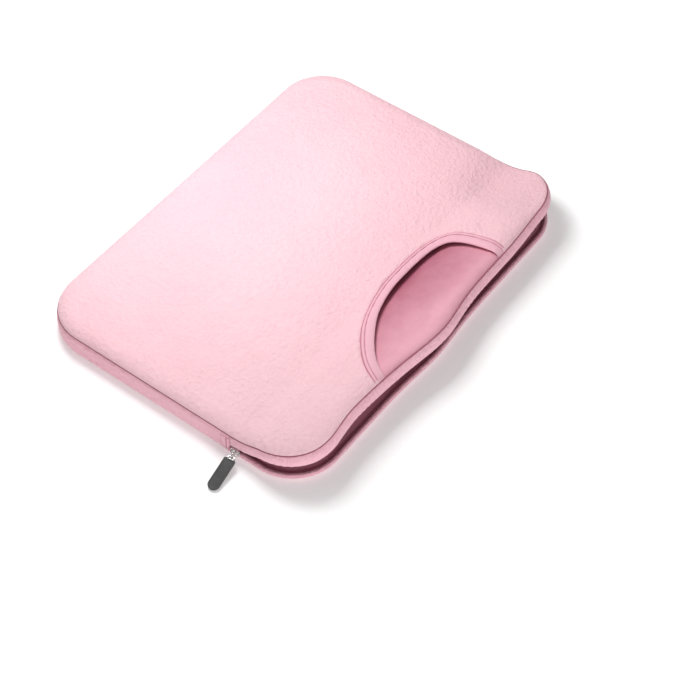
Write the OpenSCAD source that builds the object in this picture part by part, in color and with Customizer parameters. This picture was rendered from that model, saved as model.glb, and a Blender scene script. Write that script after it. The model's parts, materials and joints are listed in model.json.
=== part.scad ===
// Padded laptop sleeve with a zip-round mouth and a half-moon front pocket.
// X runs along the long side, Y along the depth with the mouth at -Y, and Z is up.
// The origin is the centre of the underside. The mouth flap is drawn lifted at its rest angle.

/* [Size] */
// Width of the sleeve over its side walls
body_w = 346; // [330:1:380]
// Depth of the sleeve over its side walls
body_d = 256; // [240:1:280]
// Height from the underside to the top of the front panel
body_h = 30; // [29:0.5:34]
// Corner radius of the side walls, seen from above
corner_r = 40; // [30:1:48]

/* [Fabric] */
// Thickness of the padded side walls
wall_t = 4; // [3.5:0.1:5]
// Thickness of the padded back and front panels
panel_t = 3.6; // [3:0.1:4]
// Thickness of a lining or a seam binding
lining_t = 0.6; // [0.4:0.1:0.8]
// Thickness of the wall between the pocket and the main compartment
pocket_wall_t = 1.6; // [1.2:0.1:1.8]
// Height of the seam between the side walls and the front panel
seam_z = 19.5; // [18:0.5:20]
// Distance from the outside of the side walls in to that seam
seam_inset = 1; // [0.6:0.1:2]
// Radius of the rounded edge of the front panel
panel_edge_r = 8.5; // [6:0.5:9]

/* [Mouth] */
// Angle that the mouth flap is lifted to at rest
mouth_open = 15; // [0:1:25]
// Largest angle that the mouth flap lifts to from closed
mouth_most = 45; // [40:1:50]
// Depth of the mouth flap, from its fold to the front wall
mouth_d = 66.5; // [62:0.5:72]

/* [Pocket opening] */
// Width of the half-moon at the front seam, over its binding
moon_w = 162; // [140:1:180]
// Depth of the half-moon from the front seam, over its binding
moon_d = 57; // [50:0.5:58]
// Fullness of the half-moon's curve, where 2 is an ellipse
moon_power = 2.2; // [2:0.1:3]
// Distance of the half-moon to the right of the middle
moon_x = 2; // [-6:1:10]
// Width of the binding round the half-moon
binding_w = 9; // [6:0.5:11]
// Height that the binding stands over the panel
binding_proud = 0.4; // [0.2:0.1:1]

/* [Zip] */
// Height of the middle of the zip
zip_z = 7.4; // [7.2:0.1:9]
// Space left between the two zip coils when the mouth is closed
coil_gap = 1; // [1:0.1:1.4]
// Height of one zip coil
coil_h = 1.5; // [1.2:0.1:1.8]
// Depth of one zip coil through the wall
coil_w = 2.2; // [1.8:0.1:2.6]
// Thickness of the zip tape
tape_t = 0.7; // [0.5:0.1:0.9]
// Width of the zip tape that is sewn behind the wall
tape_w = 6; // [5:0.5:7]

/* [Slider and pull] */
// Length of the slider along the zip
slider_len = 8.4; // [8:0.2:10]
// Height of the slider across the zip
slider_h = 5.6; // [5:0.2:6.4]
// Distance from the fold of the mouth to the middle of the slider
slider_ahead = 5.7; // [5.7:0.1:8]
// Radius of the pull ring, to the middle of its wire
ring_r = 2.3; // [2.2:0.1:2.6]
// Thickness of the pull ring's wire
ring_wire = 1; // [0.8:0.1:1.1]
// Distance from the middle of the pull ring to the tip of the pull tab
tab_reach = 30.3; // [28:0.1:34]
// Width of the pull tab
tab_w = 9.5; // [9:0.5:12]
// Thickness of the pull tab
tab_t = 2.2; // [1.8:0.1:2.4]
// Angle of the pull towards the mouth at rest
pull_turn = 9.5; // [0:0.5:20]
// Angle that the pull tab slopes down at rest
tab_droop = 11.5; // [11:0.1:12]

/* [Hidden] */

$fn = 96;

// Heights, upward from the surface that the sleeve lies on
gusset_z = 0.6;
back_lining_top = panel_t + lining_t;
lower_coil_top = zip_z - coil_gap / 2;
lower_band_top = lower_coil_top - coil_h;
upper_coil_bottom = zip_z + coil_gap / 2;
upper_band_bottom = upper_coil_bottom + coil_h;
lining_z = seam_z - 0.1;
pocket_wall_z = lining_z + lining_t;

// Sizes of the outlines: inside the side walls, inside the zip tape, and at the front panel's seam
inner_w = body_w - 2 * wall_t;
inner_d = body_d - 2 * wall_t;
inner_r = corner_r - wall_t;
panel_w = body_w - 2 * seam_inset;
panel_d = body_d - 2 * seam_inset;
panel_r = corner_r - seam_inset;
seam_binding_w = 6;

// The fold that the mouth flap turns about
fold_y = mouth_d - body_d / 2;
fold_z = 20;
fold_gap = 0.3;
notch_angle = mouth_most / 2;
far = 400;

// Slider, crown and pull, measured outward from the side wall
side_x = body_w / 2;
slider_y = fold_y - slider_ahead;
slider_clear = 0.3;
plate_t = 1.2;
inner_plate_t = 1.1;
inner_plate_h = slider_h - 1.2;
web_t = 0.5;
web_len = 3.5;
crown_len = 7;
crown_h = 1.6;
crown_rise = 2.4;
crown_t = 0.7;
face_x = side_x + slider_clear + plate_t;
ring_pivot = [-(face_x + 0.8), slider_y, zip_z];
clip_w = 7;
clip_neck_w = 5;
clip_t = 1.2;
clip_bar = 0.8;
clip_arm = 1;
clip_end = 7.5;
tab_start = 3.3;

// Stops at the two ends of the zip
stop_len = 1.3;
stop_h = 2.2;
coil_start_y = fold_y - fold_gap - stop_len - 0.8;

// A rounded rectangle, centred
module rounded_rect(w, d, r) {
    square([w - 2 * r, d], center = true);
    square([w, d - 2 * r], center = true);
    for (x = [-1, 1], y = [-1, 1])
        translate([x * (w / 2 - r), y * (d / 2 - r)]) circle(r);
}

// A flat sheet with rounded corners
module sheet(w, d, r, z, t) {
    translate([0, 0, z]) linear_extrude(t) rounded_rect(w, d, r);
}

// A ring that follows the sleeve's outline, inset from the outside of the side walls
module wall_ring(inset, t, z, h) {
    translate([0, 0, z]) linear_extrude(h) difference() {
        rounded_rect(body_w - 2 * inset, body_d - 2 * inset, corner_r - inset);
        rounded_rect(body_w - 2 * (inset + t), body_d - 2 * (inset + t), corner_r - inset - t);
    }
}

// A quarter disc of radius r whose square corner is the origin
module quarter_disc(r) {
    intersection() {
        circle(r);
        square(r);
    }
}

// Section of a dome from the middle of a corner out to its edge
module dome_section(reach, z, top, edge_r) {
    translate([0, z]) square([reach, top - edge_r - z]);
    translate([0, top - edge_r]) square([reach - edge_r, edge_r]);
    translate([reach - edge_r, top - edge_r]) quarter_disc(edge_r);
}

// A solid with a flat base and a rounded upper edge, following a rounded rectangle
module dome(w, d, r, z, top, edge_r) {
    straight_x = w / 2 - r;
    straight_y = d / 2 - r;
    translate([-straight_x, -straight_y, z]) cube([2 * straight_x, 2 * straight_y, top - z]);
    for (turn = [0, 180]) rotate([0, 0, turn]) {
        translate([straight_x, straight_y, 0]) rotate([90, 0, 0])
            linear_extrude(2 * straight_y) dome_section(r, z, top, edge_r);
        translate([-straight_x, straight_y, 0]) rotate([90, 0, 90])
            linear_extrude(2 * straight_x) dome_section(r, z, top, edge_r);
        translate([straight_x, straight_y, 0])
            rotate_extrude(angle = 90) dome_section(r, z, top, edge_r);
        translate([-straight_x, straight_y, 0]) rotate([0, 0, 90])
            rotate_extrude(angle = 90) dome_section(r, z, top, edge_r);
    }
}

// The front panel in one piece, raised all over by the height given
module panel_shell(raised) {
    difference() {
        dome(panel_w, panel_d, panel_r, seam_z, body_h + raised, panel_edge_r);
        dome(panel_w - 2 * panel_t, panel_d - 2 * panel_t, panel_r - panel_t,
             seam_z - 1, body_h - panel_t, panel_edge_r - panel_t);
    }
}

// Everything behind the fold, leaning back above it to leave room for the flap
module behind_fold() {
    lean = far * tan(notch_angle);
    intersection() {
        children();
        translate([-far, 0, 0]) rotate([90, 0, 90]) linear_extrude(2 * far) polygon([
            [fold_y + fold_gap, -far], [fold_y + fold_gap, fold_z],
            [fold_y + fold_gap + lean, fold_z + far], [far, fold_z + far], [far, -far]
        ]);
    }
}

// Everything in front of the fold, leaning forward above it
module before_fold() {
    lean = far * tan(notch_angle);
    intersection() {
        children();
        translate([-far, 0, 0]) rotate([90, 0, 90]) linear_extrude(2 * far) polygon([
            [fold_y - fold_gap, -far], [fold_y - fold_gap, fold_z],
            [fold_y - fold_gap - lean, fold_z + far], [-far, fold_z + far], [-far, -far]
        ]);
    }
}

// Everything in front of the line y
module before(y) {
    intersection() {
        children();
        translate([-far, y - far, -far]) cube([2 * far, far, 2 * far]);
    }
}

// Turns the closed flap up about the fold to its rest angle
module lifted() {
    translate([0, fold_y, fold_z]) rotate([-mouth_open, 0, 0])
        translate([0, -fold_y, -fold_z]) children();
}

// The half-moon outline, inset all round by the amount given
module half_moon(inset) {
    half_w = moon_w / 2 - inset;
    depth = moon_d - inset;
    steps = 48;
    power = 2 / moon_power;
    translate([moon_x, -panel_d / 2]) polygon([
        [half_w, -far], [-half_w, -far],
        for (i = [0 : steps]) let (a = 180 - 180 * i / steps)
            [half_w * sign(cos(a)) * pow(abs(cos(a)), power), depth * pow(sin(a), power)]
    ]);
}

module half_moon_block(inset) {
    linear_extrude(body_h + 5) half_moon(inset);
}

// The pocket wall, whose front edge reaches the seam where the half-moon leaves it bare
module pocket_wall() {
    sheet(panel_w - 2 * panel_t, panel_d - 2 * panel_t, panel_r - panel_t,
          pocket_wall_z, pocket_wall_t);
}

module pocket_wall_lip() {
    half_w = moon_w / 2 - binding_w;
    translate([moon_x - half_w, -panel_d / 2, seam_z])
        cube([2 * half_w, panel_t, pocket_wall_z + pocket_wall_t - seam_z]);
}

module front_lining() {
    sheet(panel_w - 2 * panel_t, panel_d - 2 * panel_t, panel_r - panel_t, lining_z, lining_t);
}

module front_seam_binding() {
    wall_ring(wall_t, seam_binding_w, lining_z - lining_t, lining_t);
}

// A patch on the outside of a side wall, over the end of the zip tape
module zip_end_patch(side) {
    patch_d = 8;
    patch_h = 14.5;
    x = side < 0 ? -side_x - lining_t : side_x;
    translate([x, fold_y + 0.5, 2.5]) cube([lining_t, patch_d, patch_h]);
}

// A plate that faces sideways, rounded at its corners
module side_plate(len, h, r, t) {
    rotate([90, 0, 90]) linear_extrude(t) rounded_rect(len, h, r);
}

// Places the ring, with its pivot at the origin and pointing along +X before it is turned
module at_ring() {
    translate(ring_pivot) rotate([0, 0, 180 + pull_turn]) children();
}

// Places the tab, sloping down from the middle of the ring
module at_tab() {
    at_ring() translate([ring_r, 0, 0]) rotate([0, tab_droop, 0]) children();
}

// Sleeve: back, side walls and the rear of the front

module back_panel() {
    color("#f3ccd6") sheet(inner_w, inner_d, inner_r, 0, panel_t);
}

module back_lining() {
    inset = 2 * tape_t;
    color("#b5707f")
        sheet(inner_w - inset, inner_d - inset, inner_r - inset / 2, panel_t, lining_t);
}

module back_seam_binding() {
    color("#9d5f6d") wall_ring(wall_t + tape_t, seam_binding_w, back_lining_top, lining_t);
}

module rear_gusset() {
    color("#e3a8b8") behind_fold() wall_ring(0, wall_t, gusset_z, seam_z - gusset_z);
}

module lower_band() {
    color("#e3a8b8")
        before(fold_y + fold_gap) wall_ring(0, wall_t, gusset_z, lower_band_top - gusset_z);
}

module lower_zip_tape() {
    color("#8e4f5d") before(fold_y + fold_gap)
        wall_ring(wall_t, tape_t, panel_t, lower_coil_top - panel_t);
}

module lower_zip_coil() {
    color("#6d3541")
        before(coil_start_y) wall_ring(wall_t - coil_w, coil_w, lower_band_top, coil_h);
}

module left_zip_end_patch() {
    color("#d794a6") zip_end_patch(-1);
}

module right_zip_end_patch() {
    color("#d794a6") zip_end_patch(1);
}

module zip_stops() {
    color("silver") for (side = [-1, 1]) {
        x = side < 0 ? -side_x + wall_t - coil_w : side_x - wall_t;
        translate([x, fold_y - fold_gap - stop_len, lower_band_top])
            cube([coil_w, stop_len, stop_h]);
    }
}

module front_panel_rear() {
    color("#fcdbe3") behind_fold() panel_shell(0);
}

module pocket_wall_rear() {
    color("#d08b9b") behind_fold() pocket_wall();
}

module front_lining_rear() {
    color("#b5707f") behind_fold() front_lining();
}

module front_seam_binding_rear() {
    color("#9d5f6d") behind_fold() front_seam_binding();
}

// Mouth flap: the front of the front panel and what is sewn to it

module front_panel_flap() {
    color("#fcdbe3") lifted() difference() {
        before_fold() panel_shell(0);
        half_moon_block(0);
    }
}

module pocket_wall_flap() {
    color("#d08b9b") lifted() {
        before_fold() pocket_wall();
        pocket_wall_lip();
    }
}

module front_lining_flap() {
    color("#b5707f") lifted() before_fold() front_lining();
}

module front_seam_binding_flap() {
    color("#9d5f6d") lifted() before_fold() front_seam_binding();
}

module upper_band() {
    color("#efb2c2") lifted() before_fold()
        wall_ring(0, wall_t, upper_band_bottom, seam_z - upper_band_bottom);
}

module upper_zip_tape() {
    color("#8e4f5d") lifted()
        before(coil_start_y) wall_ring(wall_t, tape_t, upper_coil_bottom, tape_w);
}

module upper_zip_coil() {
    color("#6d3541") lifted()
        before(coil_start_y) wall_ring(wall_t - coil_w, coil_w, upper_coil_bottom, coil_h);
}

module pocket_binding() {
    color("#f7c6d2") lifted() intersection() {
        before_fold() panel_shell(binding_proud);
        difference() {
            half_moon_block(0);
            half_moon_block(binding_w);
        }
    }
}

// Slider: an outer and an inner plate, joined by a thin web between the coils

module slider_body() {
    inner_x = side_x - wall_t - tape_t - slider_clear;
    color("silver") {
        translate([-face_x, slider_y, zip_z]) side_plate(slider_len, slider_h, 1.6, plate_t);
        translate([-inner_x, slider_y, zip_z])
            side_plate(slider_len, inner_plate_h, 1.6, inner_plate_t);
        translate([-face_x + plate_t, slider_y - slider_len / 2 + 0.2, zip_z - web_t / 2])
            cube([face_x - plate_t - inner_x, web_len, web_t]);
    }
}

// The arch on the slider's outer plate that holds the pull ring
module slider_crown() {
    color("gainsboro") translate([-face_x, slider_y, zip_z - crown_h / 2])
        linear_extrude(crown_h) difference() {
            intersection() {
                rounded_rect(2 * crown_rise, crown_len, 1.4);
                translate([-far, -far]) square([far, 2 * far]);
            }
            intersection() {
                rounded_rect(2 * (crown_rise - crown_t), crown_len - 2 * crown_t, 0.7);
                translate([-far, -far]) square([far, 2 * far]);
            }
        }
}

module pull_ring() {
    color("silver") at_ring() translate([ring_r, 0, 0]) rotate([90, 0, 0])
        rotate_extrude() translate([ring_r, 0]) circle(ring_wire / 2, $fn = 32);
}

// The metal clip, a flat frame that narrows to a bar inside the pull ring
module tab_clip() {
    bar_x = ring_r - ring_wire / 2 - clip_bar - 0.1;
    slot_end = ring_r + ring_wire / 2 + 0.2;
    neck = clip_neck_w / 2;
    slot_w = clip_neck_w - 2 * clip_arm;
    color("gainsboro") at_tab() translate([0, 0, -clip_t / 2]) linear_extrude(clip_t)
        difference() {
            polygon([
                [bar_x, -neck], [tab_start, -clip_w / 2], [clip_end, -clip_w / 2],
                [clip_end, clip_w / 2], [tab_start, clip_w / 2], [bar_x, neck]
            ]);
            translate([bar_x + clip_bar, -slot_w / 2])
                square([slot_end - bar_x - clip_bar, slot_w]);
        }
}

// The moulded tab, with one rounded end and a slot that takes the clip
module pull_tab() {
    tip_r = tab_w / 2;
    head_r = 1.2;
    color("#525252") at_tab() difference() {
        translate([0, 0, -tab_t / 2]) linear_extrude(tab_t) {
            translate([tab_reach - tip_r, 0]) circle(tip_r);
            translate([tab_start + head_r, -tip_r]) square([tab_reach - tip_r - tab_start - head_r, tab_w]);
            translate([tab_start, -tip_r + head_r]) square([head_r, tab_w - 2 * head_r]);
            for (y = [-1, 1])
                translate([tab_start + head_r, y * (tip_r - head_r)]) circle(head_r);
        }
        translate([0, -clip_w / 2, -clip_t / 2]) cube([clip_end, clip_w, clip_t]);
    }
}

back_panel();
back_lining();
back_seam_binding();
rear_gusset();
lower_band();
lower_zip_tape();
lower_zip_coil();
left_zip_end_patch();
right_zip_end_patch();
zip_stops();
front_panel_rear();
pocket_wall_rear();
front_lining_rear();
front_seam_binding_rear();
front_panel_flap();
pocket_wall_flap();
front_lining_flap();
front_seam_binding_flap();
upper_band();
upper_zip_tape();
upper_zip_coil();
pocket_binding();
slider_body();
slider_crown();
pull_ring();
tab_clip();
pull_tab();
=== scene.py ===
"""Looks of a padded laptop sleeve with a zip-round mouth and a half-moon pocket.

Every shape is worked out in millimetres with the mouth closed, then raised to the rest pose and written
in metres.
"""

import json
import math

import bmesh
import bpy
import numpy as np
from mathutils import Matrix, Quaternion, Vector, noise
from mathutils.geometry import delaunay_2d_cdt


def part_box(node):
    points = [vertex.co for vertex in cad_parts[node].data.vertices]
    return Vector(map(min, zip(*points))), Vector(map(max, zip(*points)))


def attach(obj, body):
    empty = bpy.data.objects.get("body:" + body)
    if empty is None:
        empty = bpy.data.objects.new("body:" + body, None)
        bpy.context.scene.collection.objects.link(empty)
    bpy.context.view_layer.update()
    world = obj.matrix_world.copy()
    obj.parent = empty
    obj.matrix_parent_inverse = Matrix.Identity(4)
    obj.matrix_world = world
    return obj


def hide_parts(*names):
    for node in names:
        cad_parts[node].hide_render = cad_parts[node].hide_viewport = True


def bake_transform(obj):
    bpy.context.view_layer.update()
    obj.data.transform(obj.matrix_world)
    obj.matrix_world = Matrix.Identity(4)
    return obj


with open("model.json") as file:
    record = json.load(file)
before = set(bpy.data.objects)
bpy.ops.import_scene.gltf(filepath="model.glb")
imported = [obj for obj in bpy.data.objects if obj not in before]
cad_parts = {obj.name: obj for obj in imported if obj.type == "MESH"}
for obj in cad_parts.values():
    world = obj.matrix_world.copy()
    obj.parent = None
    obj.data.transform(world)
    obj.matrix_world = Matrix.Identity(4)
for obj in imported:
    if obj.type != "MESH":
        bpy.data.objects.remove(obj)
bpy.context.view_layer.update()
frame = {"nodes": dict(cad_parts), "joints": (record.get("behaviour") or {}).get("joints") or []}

scene = bpy.context.scene
MM = 0.001
CLOTH_MAP = "cloth"

# ---- sizes from the frame


def span(node):
    """Lowest and highest corner of a CAD node, in millimetres."""
    low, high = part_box(node)
    return np.array(low) / MM, np.array(high) / MM


def joint(name):
    """One joint of the frame."""
    return next(j for j in frame["joints"] if j["name"] == name)


gusset_low, gusset_high = span("rear_gusset")
back_low, back_high = span("back_panel")
lower_band_low, lower_band_high = span("lower_band")
lower_coil_low, lower_coil_high = span("lower_zip_coil")
lower_tape_low, lower_tape_high = span("lower_zip_tape")
back_binding_low, back_binding_high = span("back_seam_binding")
patch_low, patch_high = span("left_zip_end_patch")
pocket_high = span("pocket_wall_rear")[1]
front_lining_low, front_lining_high = span("front_lining_rear")
front_binding_low, front_binding_high = span("front_seam_binding_rear")
front_high = span("front_panel_rear")[1]

HALF_W = gusset_high[0]
HALF_D = gusset_high[1]
CORNER_R = 40.0
WALL_T = 4.0
PANEL_T = back_high[2] - back_low[2]
SEAM_Z = gusset_high[2]
SEAM_INSET = HALF_W - front_high[0]
SEAM_Y = -HALF_D + SEAM_INSET
BODY_TOP = front_high[2]

# The zip, closed
COIL_GAP = 1.0
COIL_H = lower_coil_high[2] - lower_coil_low[2]
COIL_IN = 1.8
COIL_W = 2.2
COIL_WIRE_R = 0.3
UPPER_COIL_LOW = lower_coil_high[2] + COIL_GAP
UPPER_BAND_LOW = UPPER_COIL_LOW + COIL_H
TAPE_T = 0.7
TAPE_W = 6.0
SEAM_STRIP_W = 6.0

# The fold of the mouth, and the length of cloth that it is spread along. That is longer at the right side,
# and the left side is lifted further: each grows between two distances from the middle
fold = joint("mouth_fold")
FOLD_Y = fold["pos_m"][1] / MM
FOLD_Z = fold["pos_m"][2] / MM
REST_ANGLE = math.radians(-fold["range_deg"][0])
FOLD_RUN = 28.5
RIGHT_RUN = 16.0
RIGHT_RUN_X = (100, 160)
LEFT_EXTRA = math.radians(1.5)
LEFT_EXTRA_X = (60, 160)

# The outward bow of the front edge under the pocket, and the share of it that the lower band takes
BOW_OUT = 6.5
BOW_X = -12.0
BOW_HALF = 32.0
BOW_START = 85.0
LOWER_BOW = 0.5

# The half-moon opening: its middle, its feet, its depth and how full its two sides are. Inside it, the
# pocket's wall swells by its fullness
MOON_X = 12.0
MOON_LEFT = 96.0
MOON_RIGHT = 69.5
MOON_BASE_Y = -133.0
MOON_DEPTH = 63.0
MOON_LEFT_POWER = 1.72
MOON_RIGHT_POWER = 3.6
POCKET_FULLNESS = 1.5
BINDING_W = 9.0

# The padded front panel, and how far its cloth simulation may move it
EDGE_ROLL = 13.0
EDGE_RISE = 7.7
SWELL_ROOM = 1.2
CROWN = BODY_TOP - SEAM_Z - EDGE_RISE - SWELL_ROOM
SWELL_CAP = 1.6
SWELL_FRAMES = 20

# The padded side wall: how far it stands out, is drawn in at its seams, and is rolled under at its foot
WALL_BULGE = 0.5
WALL_TUCK = 1.3
WALL_FOOT = 3.4

# The front panel falls away toward the right front corner, between two distances to the right and to the
# front, and its arch over the pocket stands up
FALL = 3.2
FALL_X = (95, 150)
FALL_FRONT = (45, 85)
ARCH_RISE = 1.8
ARCH_Y = -75
ARCH_HALF_W = 62
ARCH_HALF_D = 26

# How far the flap's slack edge hangs outward at the pocket and at the left corner, how much of that it hangs
# down and sideways too, and the share of it that the zip follows
POCKET_SLACK = 2.4
LEFT_SLACK = 3.8
SLACK_DOWN = 0.85
SLACK_SIDEWAYS = 0.5
ZIP_SLACK = 0.35

# The share of its height that the padding loses at the right corner
RIGHT_SINK = 0.75

# Where the right corner, the left corner, the pocket and the flap's edge begin and end, as distances to the
# right, to the left or to the front
RIGHT_CORNER_X = (105, 150)
RIGHT_CORNER_FRONT = (42, 77)
LEFT_CORNER_X = (108, 158)
POCKET_LEFT_X = (-110, -35)
POCKET_RIGHT_X = (80, 150)
FLAP_EDGE_FRONT = (70, 125)

# ---- small maths


def smooth(value, start, end):
    """0 up to start and 1 from end on, with an eased step between them."""
    t = np.clip((value - start) / (end - start), 0.0, 1.0)
    return t * t * (3 - 2 * t)


def lengths(points):
    """Distances along a row of points, starting at 0."""
    steps = np.linalg.norm(np.diff(points, axis=0), axis=1)
    return np.concatenate([[0.0], np.cumsum(steps)])


def circle(count):
    """Evenly spaced angles once round."""
    return np.linspace(0, 2 * math.pi, count, endpoint=False)


def resampled(points, count):
    """The same line, as evenly spaced points."""
    along = lengths(points)
    wanted = np.linspace(0, along[-1], count)
    return np.stack([np.interp(wanted, along, points[:, k]) for k in range(points.shape[1])], axis=1)


def cloth_noise(points, size, seed=0.0):
    """Smooth noise from -1 to 1 at each point, with lumps about as wide as size millimetres."""
    shift = Vector((seed, 2 * seed, 3 * seed))
    return np.array([noise.noise(Vector(p) / size + shift) for p in np.asarray(points)])


def bowed(points, share=1.0):
    """Points of the front with the outward bow under the pocket."""
    moved = np.array(points, float)
    bow = BOW_OUT * np.exp(-(((moved[..., 0] - BOW_X) / BOW_HALF) ** 2))
    reach = smooth(-moved[..., 1], BOW_START, HALF_D)
    moved[..., 1] -= share * bow * reach
    return moved


def hung(points, share=1.0):
    """Points of the flap with its slack edge, which hangs out and down at the pocket and at the left corner.

    The padding sinks at the right corner.
    """
    moved = np.array(points, float)
    x = moved[..., 0].copy()
    toward_front = -moved[..., 1]
    right = smooth(x, *RIGHT_CORNER_X) * smooth(toward_front, *RIGHT_CORNER_FRONT)
    moved[..., 2] -= RIGHT_SINK * right * np.maximum(moved[..., 2] - SEAM_Z, 0)
    corner = smooth(-x, *LEFT_CORNER_X)
    pocket = smooth(x, *POCKET_LEFT_X) * (1 - smooth(x, *POCKET_RIGHT_X))
    slack = share * (POCKET_SLACK * pocket + LEFT_SLACK * corner) * smooth(toward_front, *FLAP_EDGE_FRONT)
    moved[..., 0] -= SLACK_SIDEWAYS * slack * corner
    moved[..., 1] -= slack
    moved[..., 2] -= SLACK_DOWN * slack
    return moved


def lifted(points):
    """Points of the closed mouth as they lie at rest, turned about the fold little by little."""
    points = np.array(points, float)
    left = LEFT_EXTRA * smooth(-points[..., 0], *LEFT_EXTRA_X)
    run = FOLD_RUN + RIGHT_RUN * smooth(points[..., 0], *RIGHT_RUN_X)
    angle = (REST_ANGLE + left) * smooth(FOLD_Y - points[..., 1], 0, run)
    dy = points[..., 1] - FOLD_Y
    dz = points[..., 2] - FOLD_Z
    points[..., 1] = FOLD_Y + dy * np.cos(angle) + dz * np.sin(angle)
    points[..., 2] = FOLD_Z - dy * np.sin(angle) + dz * np.cos(angle)
    return points


def flap_at_rest(points, slack=1.0):
    """Points of the closed flap as they lie at rest."""
    return lifted(bowed(hung(points, slack)))


def depth_inside(points):
    """Distance inward from the outside of the side walls, seen from above."""
    qx = np.abs(points[:, 0]) - (HALF_W - CORNER_R)
    qy = np.abs(points[:, 1]) - (HALF_D - CORNER_R)
    outside = np.hypot(np.maximum(qx, 0), np.maximum(qy, 0))
    return CORNER_R - outside - np.minimum(np.maximum(qx, qy), 0)


# ---- outlines


def wall_path(rear, start_y=FOLD_Y, step=2.5):
    """Stations along the walls from the left side to the right, round the rear or the front.

    Each is a point on the line through the corner centres and an outward direction.
    """
    side = 1 if rear else -1
    centre_x = HALF_W - CORNER_R
    centre_y = (HALF_D - CORNER_R) * side
    straight = max(2, round(abs(centre_y - start_y) / step))
    curve = max(6, round(CORNER_R * math.pi / 2 / step))
    across = round(2 * centre_x / step)
    rows = [(-centre_x, y, -1, 0) for y in np.linspace(start_y, centre_y, straight, endpoint=False)]
    for turn in np.linspace(0, math.pi / 2, curve, endpoint=False):
        rows.append((-centre_x, centre_y, -math.cos(turn), side * math.sin(turn)))
    rows += [(x, centre_y, 0, side) for x in np.linspace(-centre_x, centre_x, across, endpoint=False)]
    for turn in np.linspace(0, math.pi / 2, curve, endpoint=False):
        rows.append((centre_x, centre_y, math.sin(turn), side * math.cos(turn)))
    rows += [(centre_x, y, 1, 0) for y in np.linspace(centre_y, start_y, straight + 1)]
    return np.array(rows, float)


def whole_path(step=2.5):
    """Stations all the way round, without repeating one."""
    return np.concatenate([wall_path(False, step=step), wall_path(True, step=step)[::-1][1:-1]])


def at_wall(path, out, z):
    """Points a distance outside the wall line at a height: one section at every station of the path."""
    out, z = np.broadcast_arrays(np.asarray(out, float), np.asarray(z, float))
    if out.ndim == 1:
        out, z = np.tile(out, (len(path), 1)), np.tile(z, (len(path), 1))
    flat = path[:, None, :2] + path[:, None, 2:] * (CORNER_R + out)[..., None]
    return np.concatenate([flat, z[..., None]], axis=2)


def moon_line(inset, count):
    """The half-moon's edge from its left foot to its right one, moved inward, as evenly spaced points."""
    rows = []
    for turn in np.linspace(0, math.pi, 721):
        c = -math.cos(turn)
        s = math.sin(turn)
        half, power = (MOON_LEFT, MOON_LEFT_POWER) if c < 0 else (MOON_RIGHT, MOON_RIGHT_POWER)
        rows.append((MOON_X + half * math.copysign(abs(c) ** (2 / power), c),
                     MOON_BASE_Y + MOON_DEPTH * s ** (2 / power)))
    line = resampled(np.array(rows), 400)
    along = np.gradient(line, axis=0)
    along /= np.linalg.norm(along, axis=1)[:, None]
    line = line + inset * np.stack([along[:, 1], -along[:, 0]], axis=1)
    above = np.nonzero(line[:, 1] > SEAM_Y)[0]
    first, last = above[0], above[-1]
    feet = []
    for low, high in ((first - 1, first), (last + 1, last)):
        share = (SEAM_Y - line[low, 1]) / (line[high, 1] - line[low, 1])
        feet.append(line[low] + share * (line[high] - line[low]))
    return resampled(np.concatenate([[feet[0]], line[first:last + 1], [feet[1]]]), count)


def in_moon(points):
    """True inside the half-moon."""
    across = points[:, 0] - MOON_X
    half = np.where(across < 0, MOON_LEFT, MOON_RIGHT)
    power = np.where(across < 0, MOON_LEFT_POWER, MOON_RIGHT_POWER)
    up = np.clip((points[:, 1] - MOON_BASE_Y) / MOON_DEPTH, 0, None)
    return (np.abs(across) / half) ** power + up ** power < 1


moon_reference = moon_line(0.0, 300)


def distances(points, line):
    """Distance from each point to the nearest one of a line's points."""
    return np.linalg.norm(points[:, None] - line[None], axis=2).min(axis=1)


def moon_distance(points):
    """Distance from the half-moon's edge, positive outside it."""
    nearest = distances(points, moon_reference)
    return np.where(in_moon(points), -nearest, nearest)


def quarter_round(share):
    """Height of a quarter circle, from 0 to 1, at a share of the way in from its edge."""
    return np.sqrt(np.maximum(1 - (1 - np.minimum(share, 1)) ** 2, 0))


def panel_height(points):
    """Height of the top of the front panel, closed and without the half-moon."""
    x, y = points[:, 0], points[:, 1]
    d = np.maximum(depth_inside(points) - SEAM_INSET, 0)
    roll = EDGE_RISE * quarter_round(d / EDGE_ROLL)
    crown = CROWN * (1 - (x / HALF_W) ** 2) * (1 - (y / HALF_D) ** 2)
    fall = FALL * smooth(x, *FALL_X) * smooth(-y, *FALL_FRONT) * smooth(d, 0, 9)
    mound = np.exp(-(((x - MOON_X) / ARCH_HALF_W) ** 2) - ((y - ARCH_Y) / ARCH_HALF_D) ** 2)
    arch = ARCH_RISE * mound * smooth(d, 0, 25)
    return SEAM_Z + roll + crown * smooth(d, 0, 40) - fall + arch


# ---- meshes


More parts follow.
